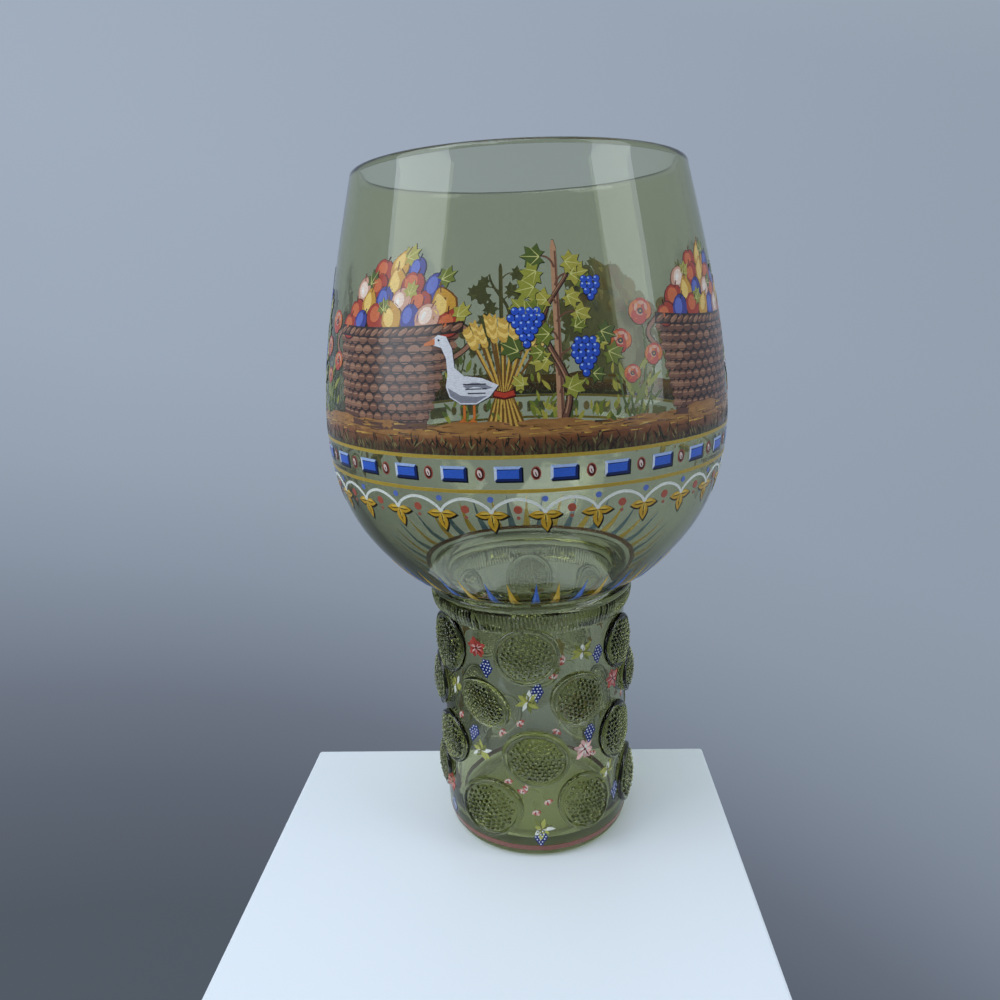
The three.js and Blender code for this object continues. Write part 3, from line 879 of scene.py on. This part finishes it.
def paintBasket(coat, x, level=0.08):
    # the woven wall, the heaped fruit behind the rim, and the plaited rim over both
    h = harvest
    z = h["ground"]
    foot, mouth, tall = (basket[k] for k in ("foot", "mouth", "tall"))
    paintWicker(coat, x, z, level)
    pile = 0
    for row, (count, rise, size) in enumerate(basket["pile"]):
        for c in range(count):
            out = c - (count - 1) / 2
            fx = x + out * size * 0.98 + hand.uniform(-0.8, 0.8)
            fz = z + tall + rise - 2.2 * abs(out / count) ** 2 * 8 + hand.uniform(-0.6, 0.6)
            if (c + row) % 4 == 1:
                paintLeaf(coat, (fx + 4, fz + 3.5), hand.uniform(4.2, 5.4), hand.uniform(0.4, 2.6),
                          level + 0.02 + 0.025 * row)
            paintFruit(coat, (fx, fz), size * hand.uniform(0.98, 1.2), basket["fruit"][pile % 8],
                       level + 0.02 + 0.022 * row + 0.006 * (c % 2))
            pile += 1

    def rimAt(u, wide):
        return x + mouth * wide * u, z + tall - 1.7 * (1 - u * u)
    layLine(coat, [rimAt(t * 2 - 1, 1.04) for t in shares(18)], 4.4, h["wickerDark"], level + 0.125)
    plaits = 17
    for k in range(plaits):
        px, pz = rimAt((k + 0.5) / plaits * 2 - 1, 1.02)
        layShape(coat, oval(5.2, 2.3, 9), h["wicker"][(k * 3) % 4], (px, pz), level + 0.14, turn=0.5)
        layShape(coat, oval(3.0, 0.7, 7), h["wickerLight"], (px - 0.4, pz + 0.4), level + 0.15, turn=0.5)
    base = [(x + foot * u, z - 0.4 - 1.4 * (1 - u * u)) for u in (t * 2 - 1 for t in shares(12))]
    layLine(coat, base, 2.6, h["wicker"][3], level + 0.06)


def paintPoppies(coat, x, level=0.09):
    # four stalks with two leaves each, and a head of four petals round a dark eye
    h = harvest
    z = h["ground"]
    for dx, tall, size, bow in ((-6, 30, 10.5, 2.5), (4, 41, 11.5, -3), (10, 24, 9.5, -2), (-1, 17, 8.0, 1)):
        head = (x + dx, z + tall)
        leftSide = dx < 3
        layLine(coat, curve((x + dx * 0.4, z), head, bow), 0.95, h["leaf"][2], level, 0.8)
        layShape(coat, blade(13, 2.6, 1.5), h["leaf"][0], (x + dx * 0.5, z + tall * 0.25), level + 0.01,
                 0.9 if leftSide else 2.2)
        layShape(coat, blade(10, 2.2, -1.2), h["leaf"][1], (x + dx * 0.6, z + tall * 0.45), level + 0.015,
                 2.1 if leftSide else 0.8)
        for k, a in enumerate((0.2, 1.5, 2.9, 4.4)):
            spot = (head[0] + size * 0.22 * math.cos(a), head[1] + size * 0.18 * math.sin(a))
            edged(coat, oval(size * 0.66, size * 0.54, 12), h["red"] if k % 2 else h["orange"], h["darkRed"],
                  spot, level + 0.03 + 0.006 * k, a + 1.57, rim=0.25)
            layShape(coat, oval(size * 0.3, size * 0.14, 8), h["peach"],
                     (spot[0] + 0.3, spot[1] + size * 0.1), level + 0.085, a + 1.57)
        layShape(coat, oval(size * 0.24, size * 0.22, 9), h["darkGrey"], head, level + 0.1)
        layShape(coat, oval(size * 0.09, size * 0.08, 6), h["straw"], head, level + 0.11)


# outlines of the goose, in millimetres from its feet, facing right
gooseBody = [(-13, 15.5), (-9, 10.8), (-3, 7.6), (4, 7.6), (9, 10.6), (10.5, 15), (9.4, 20), (9.6, 27),
             (11.6, 31.5), (15.2, 32.6), (15.8, 35), (12.8, 37), (9, 36.2), (6.6, 31), (6.0, 23), (2, 19.6),
             (-6, 18.6)]
gooseBelly = [(-8, 11.2), (-3, 8.2), (4, 8.2), (8.6, 11), (9.6, 14.6), (4, 11.4), (-3, 10.8)]
gooseBill = [(14.4, 35.6), (14.6, 32.8), (20, 32.4), (19.8, 33.4)]


def paintGoose(coat, x, facing, size, level=0.24):
    # legs, body, belly, three feathers of the wing, bill and eye
    h = harvest
    z = h["ground"] + 1

    def at(px, pz):
        return x + facing * px * size, z + pz * size
    for px in (-2.0, 2.4):
        layLine(coat, [at(px, 9), at(px + 0.3, 1.2)], 1.1 * size, h["orange"], level)
        layShape(coat, [at(px - 1, 0), at(px + 3.2, -0.2), at(px + 1, 1.5)][::facing], h["orange"],
                 level=level + 0.01)
    body = [at(*p) for p in gooseBody]
    layShape(coat, [(px + 0.25, pz - 0.3) for px, pz in body], h["darkGrey"], level=level + 0.01)
    layShape(coat, body, h["white"], level=level + 0.04)
    layShape(coat, [at(*p) for p in gooseBelly], h["grey"], level=level + 0.055)
    for k, (px, pz, length) in enumerate(((3.5, 17.2, 14), (2.6, 15.2, 13), (1.6, 13.4, 11))):
        feather = [(-a * facing, b) for a, b in blade(length * size, 3.4 * size, -0.6)]
        layShape(coat, feather, h["grey"] if k % 2 else h["white"], at(px, pz), level + 0.07 + 0.01 * k)
        quill = [at(px - 1, pz - 1.2), at(px - length * 0.8, pz - 1.1)]
        layLine(coat, quill, 0.45, h["darkGrey"], level + 0.1)
    layShape(coat, [at(*p) for p in gooseBill], h["orange"], level=level + 0.06)
    layShape(coat, oval(1.0, 1.0, 7), h["darkGrey"], at(12.6, 34.7), level + 0.07)


def paintSheaf(coat, x, level=0.08):
    # straws that narrow at the band and fan out above it, each with an ear of corn
    h = harvest
    z = h["ground"]
    for k in range(15):
        u = k / 7 - 1
        top = (x + 11 * u + hand.uniform(-1, 1), z + 33 - 6 * u * u + hand.uniform(-2, 2))
        waist = (x + 2.4 * u, z + 13)
        layLine(coat, [(x + 7.5 * u, z - 0.5), waist, top], 0.95, h["straw"] if k % 2 else h["darkStraw"],
                level + 0.004 * k)
        lean = math.atan2(top[1] - waist[1], top[0] - waist[0])
        for grain in range(5):
            spot = away(top, grain * 1.7, lean)
            for flare in (-0.5, 0.5):
                layShape(coat, blade(3.0, 1.3), h["pearLight"] if grain % 2 else h["straw"], spot,
                         level + 0.06 + 0.004 * grain, lean + flare)
    for half, lift, width, tone, rise in ((4.4, 0, 3.0, "darkRed", 0.09), (4, 0.2, 1.9, "red", 0.1)):
        band = [(x - half, z + 12 + lift), (x, z + 11 + lift), (x + half, z + 12 + lift)]
        layLine(coat, band, width, h[tone], level + rise)


def paintHedge(coat, low, high, tall, level=0.06):
    # loose low scrub behind everything, thin enough to let the glass show
    h = harvest
    for _ in range(int((high - low) * 1.3)):
        x = hand.uniform(low, high)
        rise = tall * hand.random() ** 1.7 * (0.55 + 0.45 * math.sin(x / 9) ** 2)
        turn = math.pi / 2 + hand.uniform(-0.9, 0.9)
        tone = hand.choice(h["leaf"])
        leaf = blade(hand.uniform(3, 6.5), hand.uniform(1.0, 2.0), hand.uniform(-0.8, 0.8), 4)
        layShape(coat, leaf, tone, (x, h["ground"] - 1 + rise), level + 0.02 * hand.random(), turn, dice=30)


earth = {
    "low": 230.5, "high": 243.6, "waveFrom": 238, "waveOver": 5.6,
    "path": (236.5, 243.2), "marks": 120, "grass": (230.6, 235.5), "blades": 200,
    # the ramp climbs the band from shade to the lit path; heights in metres
    "rampFrom": 0.2355, "rampTo": 0.2515, "drift": 0.012, "grassTop": 0.2375, "grassFull": 0.231,
    "tones": [(0.16, (84, 58, 40)), (0.34, (122, 74, 44)), (0.5, (138, 86, 50)), (0.68, (172, 124, 68)),
              (0.84, (160, 112, 62))],
    **palette(shade=(52, 42, 32), edge=(150, 106, 66), grassTone=(96, 92, 56)),
}


def rampOf(tree, value, first, last, tones):
    node = addNode(tree, "ValToRGB", {"Fac": value})
    stops = node.color_ramp.elements
    stops[0].color, stops[1].color = first, last
    for place, colour in tones:
        stops.new(place).color = paint(*colour)
    return node.outputs["Color"]


def makeEarthEnamel():
    # tones drift along the band, and fine upright tufts grow out of its lower edge
    e = earth
    material, tree, coat = newMaterial("earthEnamel")
    where = addNode(tree, "TexCoord").outputs["Object"]
    height = addNode(tree, "SeparateXYZ", {"Vector": where}).outputs["Z"]
    drift = noise(tree, stretched(tree, where, (26, 26, 240)), 1, 5)
    climb = remap(tree, reckon(tree, "MULTIPLY_ADD", drift, e["drift"], height), e["rampFrom"], e["rampTo"])
    tone = rampOf(tree, climb, e["shade"], e["edge"], e["tones"])
    tuft = remap(tree, noise(tree, stretched(tree, where, (900, 900, 120)), 1, 2), 0.48, 0.6)
    low = remap(tree, height, e["grassTop"], e["grassFull"])
    mixed = blendOf(tree, "MIX", reckon(tree, "MULTIPLY", low, tuft), tone, e["grassTone"])
    brushOn(tree, coat, mixed, streak=0.5, grain=260)
    return material


def makeEarth():
    # ochre path over a dark grassy edge, in one coat all the way round
    e = earth
    band = bandOn(e["low"], e["high"], 0.12, steps=360, rows=6)
    for v in band.verts:
        a = math.atan2(v.co.y, v.co.x)
        lift = max(0, (v.co.z - e["waveFrom"]) / e["waveOver"])
        v.co.z += lift * (0.9 * math.sin(7 * a) + 0.6 * math.sin(17 * a + 1) + 0.35 * math.sin(41 * a + 2))
    finishCoat(band, "earthBand", makeEarthEnamel())


def makeEarthMarks():
    # ruts, stones and lit edges on the path, then blades of grass below it
    h = harvest
    side = h["halfUnit"]
    marks = bmesh.new()
    for k in range(earth["marks"]):
        x, z = hand.uniform(-side, side), hand.uniform(*earth["path"])
        length = hand.uniform(2, 9)
        tone = (h["darkBark"], h["bark"], h["straw"], h["darkStraw"])[k % 4]
        line = curve((x, z), (x + length, z + hand.uniform(-0.5, 0.5)), hand.uniform(-0.3, 0.3), 4)
        layLine(marks, line, hand.uniform(0.3, 0.75), tone, 0.15 + 0.008 * (k % 4), 0.2, dice=50)
    for k in range(earth["blades"]):
        x, z = hand.uniform(-side, side), hand.uniform(*earth["grass"])
        tone = (h["grassDark"], h["grass"], h["grassDark"], h["darkBark"], h["leafDark"])[k % 5]
        leaf = blade(hand.uniform(2.4, 5), hand.uniform(0.4, 0.75), hand.uniform(-0.8, 0.8), 3)
        turn = math.pi / 2 + hand.uniform(-0.8, 0.8)
        layShape(marks, leaf, tone, (x, z), 0.15 + 0.01 * (k % 5), turn, dice=50)
    wrapOnWall(marks)
    finishCoat(ringOf(marks, h["repeats"], h["phase"]), "earthMarks")


def makeHarvest():
    # each quarter is painted afresh, so that no two leaves or fruits are alike
    h = harvest
    coats = {kind: bmesh.new() for kind in ("vines", "baskets", "poppies", "geese", "hedge")}
    for k in range(h["repeats"]):
        parts = {kind: bmesh.new() for kind in coats}
        paintVine(parts["vines"], h["vine"])
        paintBasket(parts["baskets"], h["basket"])
        paintPoppies(parts["poppies"], h["poppies"])
        paintSheaf(parts["geese"], h["sheaf"])
        paintGoose(parts["geese"], h["goose"], 1 if k % 2 else -1, h["gooseSize"])
        paintHedge(parts["hedge"], *h["hedge"])
        for kind, part in parts.items():
            wrapOnWall(part)
            swivel(part, math.radians(h["phase"]) + fullTurn * k / h["repeats"])
            joinInto(coats[kind], part)
    for kind, coat in coats.items():
        finishCoat(coat, kind)


makeEarth()
makeEarthMarks()
makeHarvest()


# Sprigs between the discs of the stem
posies = {
    # angle from the front and height of each sprig
    "red": [(-34.4, 119.3), (55.0, 93.8), (-67.5, 26.8), (118, 106), (-118, 104), (142, 47), (-100, 60),
            (175, 108)],
    "blush": [(29.9, 61.1), (160, 78), (-160, 78)],
    "grapes": [(-28.2, 108.9), (40.5, 112.6), (1.5, 97.5), (-39.6, 68.9), (33.6, 69.4), (1.2, 13.1),
               (54.5, 26.3), (-64.3, 12.9), (75, 110), (-76, 112), (115, 62), (-118, 62), (158, 100),
               (-160, 100), (137, 20), (-140, 20)],
    "leaves": [(29.5, 116.7), (-3.8, 93.0), (-54.5, 92.6), (-34.7, 60.3), (47.9, 42.1), (1.9, 18.6),
               (97, 92), (-97, 90), (120, 45), (-122, 45), (165, 60), (-165, 60), (90, 30), (-92, 30)],
    "buds": [(18.0, 114.0), (10.8, 105.1), (-9.9, 81.4), (-21.0, 74.9), (13.0, 76.0), (-51.8, 77.0),
             (34.9, 55.9), (-17.3, 47.1), (-9.2, 39.7), (-5.5, 42.4), (5.4, 35.6), (-1.3, 29.8), (70, 80),
             (-70, 44), (84, 52), (104, 76), (-108, 76), (130, 88), (-132, 88), (150, 32), (-150, 32),
             (178, 78), (178, 44)],
    **palette(redPaint=(176, 70, 58), palePink=(226, 178, 168), deepRed=(98, 28, 26), blue=(20, 38, 114),
              dot=(232, 238, 250), white=(236, 236, 224), lime=(176, 176, 84), moss=(118, 124, 54),
              stalk=(74, 54, 26)),
}


def paintBloom(coat, z, petalTone, lightTone):
    # a ragged flower of brushed petals, each with a lighter or darker touch in it
    p = posies
    petals = 11
    for k in range(petals):
        a = fullTurn * k / petals + hand.uniform(-0.2, 0.2)
        reach = hand.uniform(5.6, 7.2) if k % 2 else hand.uniform(4.2, 5.4)
        tone = tuple(c * (1, 1.3, 0.8)[k % 3] for c in p[petalTone][:3]) + (1,)
        layShape(coat, oval(reach, hand.uniform(2.4, 3.2), 9), tone, away((0, z), reach * 0.48, a),
                 0.12 + 0.004 * k, a)
        touch = blade(reach * hand.uniform(0.55, 0.85), hand.uniform(0.4, 1.0), 0.3, 4)
        layShape(coat, touch, p[lightTone] if k % 3 else p["deepRed"], away((0, z), 0.4, a),
                 0.17 + 0.003 * k, a + hand.uniform(-0.1, 0.3))
    layShape(coat, oval(1.7, 1.5, 8), p["deepRed"], (0, z), 0.215)


def paintBunch(coat, z):
    # a small leaning bunch of dark berries, each with a pale dot
    p = posies
    lean = hand.uniform(-0.7, 0.7)
    for r, count in enumerate((2, 3, 4, 3, 2, 1)):
        for c in range(count):
            x = (c - (count - 1) / 2) * 1.75 + lean * (r - 2) * 0.8 + hand.uniform(-0.25, 0.25)
            y = z + 4.0 - r * 1.6 + hand.uniform(-0.2, 0.2)
            layShape(coat, oval(2.2, 2.15, 8), p["blue"], (x, y), 0.13 + 0.006 * (r % 2))
            layShape(coat, oval(hand.uniform(0.6, 1.1), 0.8, 7), p["dot"],
                     (x - hand.uniform(0, 0.35), y + 0.25), 0.165)


def paintSpray(coat, z):
    # a spray of slim leaves and brushed stalks, no two alike
    p = posies
    start = hand.uniform(0, 6.28)
    for k in range(9):
        a = start + k * 0.7 + hand.uniform(-0.25, 0.25)
        tone = (p["lime"], p["white"], p["moss"], p["lime"], p["moss"])[k % 5]
        reach = hand.uniform(4.0, 7.4)
        leaf = blade(reach, hand.uniform(1.8, 3.3), hand.uniform(-1.0, 1.0), 5)
        layShape(coat, leaf, tone, (0, z), 0.12 + 0.006 * k, a)
        if k % 2:
            stalk = curve((0, z), away((0, z), reach * 0.8, a + 0.2), 0.5, 4)
            layLine(coat, stalk, 0.32, p["stalk"], 0.19, 0.5)


def paintBud(coat, z):
    # a stalk with a bud of four petals
    p = posies
    a = hand.uniform(0, 6.28)
    stalk = curve((0, z), away((0, z), 6, a + 3), 1.0, 5)
    layLine(coat, stalk, 0.42, p["moss"], 0.115, 0.4)
    for k in range(4):
        petal = blade(hand.uniform(2.8, 3.8), 1.8, 0.1, 4)
        layShape(coat, petal, p["redPaint"] if k % 2 else p["palePink"], (0, z), 0.12 + 0.006 * k,
                 a + (k - 1.5) * 0.62)
        layShape(coat, blade(2.0, 0.5, 0.1, 4), p["deepRed"] if k == 1 else p["white"], (0.1, z + 0.1), 0.16,
                 a + (k - 1.5) * 0.6)


def makePosies():
    coat = bmesh.new()
    for kind, paintSprig, *tones in (
            ("red", paintBloom, "redPaint", "palePink"), ("blush", paintBloom, "palePink", "white"),
            ("grapes", paintBunch), ("leaves", paintSpray), ("buds", paintBud)):
        for angle, z in posies[kind]:
            sprig = bmesh.new()
            paintSprig(sprig, z, *tones)
            wrapOnWall(sprig)
            swivel(sprig, math.radians(angle))
            joinInto(coat, sprig)
    finishCoat(coat, "stemPosies")


makePosies()

# Stage
plinth = {
    "side": 255.5, "deep": 500, "gap": 0.2, "edge": 1.6, "centre": (-21.3, -75.5), "turn": -1.2,
    "white": (0.80, 0.84, 0.88, 1), "roughness": 0.35,
}


def makePlinth():
    p = plinth
    material, _, shader = newMaterial("whitePlinth")
    setInputs(shader, {"Base Color": p["white"], "Roughness": p["roughness"]})
    bm = bmesh.new()
    bmesh.ops.create_cube(bm, size=1)
    bmesh.ops.scale(bm, vec=(p["side"], p["side"], p["deep"]), verts=bm.verts)
    swivel(bm, math.radians(p["turn"]))
    bmesh.ops.translate(bm, vec=(*p["centre"], -p["deep"] / 2 - p["gap"]), verts=bm.verts)
    bmesh.ops.bevel(bm, geom=bm.edges[:], offset=p["edge"], segments=2, affect="EDGES", profile=0.5,
                    material=-1)
    block = asObject(bm, "plinth", material)


makePlinth()

room = {
    # tones of the wall by how far up one looks, then the pale ceiling
    "floor": (80, 88, 98),
    "wall": [(0.05, (93, 100, 113)), (0.09, (106, 114, 128)), (0.125, (121, 131, 146)),
             (0.16, (134, 145, 160)), (0.21, (146, 157, 172)), (0.28, (153, 165, 181)),
             (0.4, (157, 169, 185)), (0.55, (157, 169, 185))],
    "ceiling": (0.62, 0.68, 0.76, 1), "slant": 0.33, "bottom": -0.75, "top": 1.25,
    "leftLight": 1.06, "rightLight": 0.88, "dimFrom": -0.3, "dimTo": -0.9, "dimLight": 0.4,
}


def makeRoom():
    # grey-blue studio wall all round, darker towards the floor and low on the left, under a pale ceiling
    r = room
    world = bpy.data.worlds.new("studioWall")
    bpy.context.scene.world = world
    world.use_nodes = True
    tree = world.node_tree
    look = addNode(tree, "TexCoord").outputs["Generated"]
    ahead = addNode(tree, "SeparateXYZ", {"Vector": look}).outputs
    slanted = reckon(tree, "MULTIPLY_ADD", ahead["X"], r["slant"], ahead["Z"])
    climb = remap(tree, slanted, r["bottom"], r["top"])
    tone = rampOf(tree, climb, paint(*r["floor"]), r["ceiling"], r["wall"])
    side = remap(tree, ahead["X"], -0.5, 0.5, r["leftLight"], r["rightLight"])
    near = remap(tree, ahead["Y"], r["dimFrom"], r["dimTo"], 1, r["dimLight"])   # dimmer on the camera's side
    shade = blendOf(tree, "MULTIPLY", 1, tone, reckon(tree, "MULTIPLY", side, near))
    setInputs(tree.nodes["Background"], {"Color": shade, "Strength": 1})


makeRoom()

softBoxes = [
    # name, place, aimed at, width, height, power
    ("leftWindow", (-1.1, -0.49, 0.9), (0, 0, 0.3), 0.86, 1.5, 9.3),
    ("rightWindow", (1.09, -0.51, 0.9), (0, 0, 0.3), 0.6, 1.5, 5.8),
    ("ceilingLamp", (-0.42, -0.5, 1.5), (0, 0, 0.1), 1.0, 1.0, 8.5),
]
daylight = (0.86, 0.93, 1)
for name, place, aim, width, tall, power in softBoxes:
    lamp = bpy.data.lights.new(name, "AREA")
    lamp.shape = "RECTANGLE"
    lamp.size, lamp.size_y = width, tall
    lamp.energy = power
    lamp.color = daylight
    box = bpy.data.objects.new(name, lamp)
    box.location = place
    box.rotation_euler = (Vector(aim) - Vector(place)).to_track_quat("-Z", "Y").to_euler()
    box.visible_camera = False
    bpy.context.scene.collection.objects.link(box)
print("plinth, wall and", len(softBoxes), "lamps")

view = {
    "place": (0, -0.400, 0.2903), "pitch": 14.624, "yaw": -2.1755, "roll": -2.4055,
    "lens": 27.513, "sensor": 36, "nearest": 0.01,
}


def makeCamera():
    pitch, yaw, roll = (math.radians(view[k]) for k in ("pitch", "yaw", "roll"))
    ahead = Vector((math.sin(yaw) * math.cos(pitch), math.cos(yaw) * math.cos(pitch), -math.sin(pitch)))
    right = Vector((math.cos(yaw), -math.sin(yaw), 0))
    up = right.cross(ahead)
    tiltedRight = math.cos(roll) * right + math.sin(roll) * up
    tiltedUp = math.cos(roll) * up - math.sin(roll) * right
    data = bpy.data.cameras.new("camera")
    data.lens = view["lens"]
    data.sensor_width = view["sensor"]
    data.clip_start = view["nearest"]
    camera = bpy.data.objects.new("camera", data)
    facing = Matrix((tiltedRight, tiltedUp, -ahead)).transposed().to_4x4()
    camera.matrix_world = Matrix.Translation(view["place"]) @ facing
    bpy.context.scene.collection.objects.link(camera)
    bpy.context.scene.camera = camera


makeCamera()
bpy.context.scene.view_settings.view_transform = "Standard"
